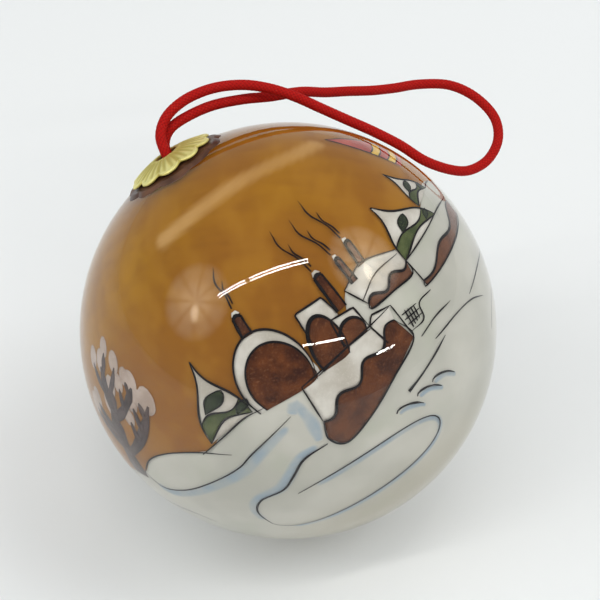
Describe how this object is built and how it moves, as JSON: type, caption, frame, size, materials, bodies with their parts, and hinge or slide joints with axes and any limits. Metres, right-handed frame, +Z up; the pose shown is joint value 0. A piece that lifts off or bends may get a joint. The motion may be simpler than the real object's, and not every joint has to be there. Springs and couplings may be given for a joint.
{
  "type": "hanging ball ornament",
  "caption": "Blown-glass ball ornament, painted on its inner wall with a snowy village under an amber sky, with a stamped flower cap and a red cord loop.",
  "frame": {"origin": "the point of the glass ball that touches the table as it lies", "axes": "+Z up, away from the table; -Y towards the viewer who sees the village; the crown leans back and to -X"},
  "size_m": [0.0836, 0.0845, 0.0817],
  "materials": {
    "clear_glass": "polished, clear",
    "ink": "fine black ink lines, seen through the glass",
    "village_paint": "brush-painted enamel in browns, greens and pinks",
    "snow_paint": "warm white enamel with pale blue and green shading",
    "sky_paint": "amber enamel, brushed unevenly",
    "brown_glue": "dark brown glue, set with a gloss",
    "gilt_brass": "pale gilt, stamped, satin",
    "red_cord": "braided satin cord"
  },
  "bodies": {
    "globe": {"glass_globe": "clear_glass", "ink_drawing": "ink", "colour_fills": "village_paint", "snow_coat": "snow_paint", "sky_coat": "sky_paint", "glue_ring": "brown_glue", "flower_cap": "gilt_brass"},
    "loop": {"hanging_cord": "red_cord", "cord_knot": "red_cord"}
  },
  "joints": [
    {"name": "loop_swivel", "type": "hinge", "parent": "globe", "child": "loop", "pos_m": [-0.02235, 0.01239, 0.0727], "axis": [-0.5385, 0.2985, 0.788], "continuous": true}
  ]
}
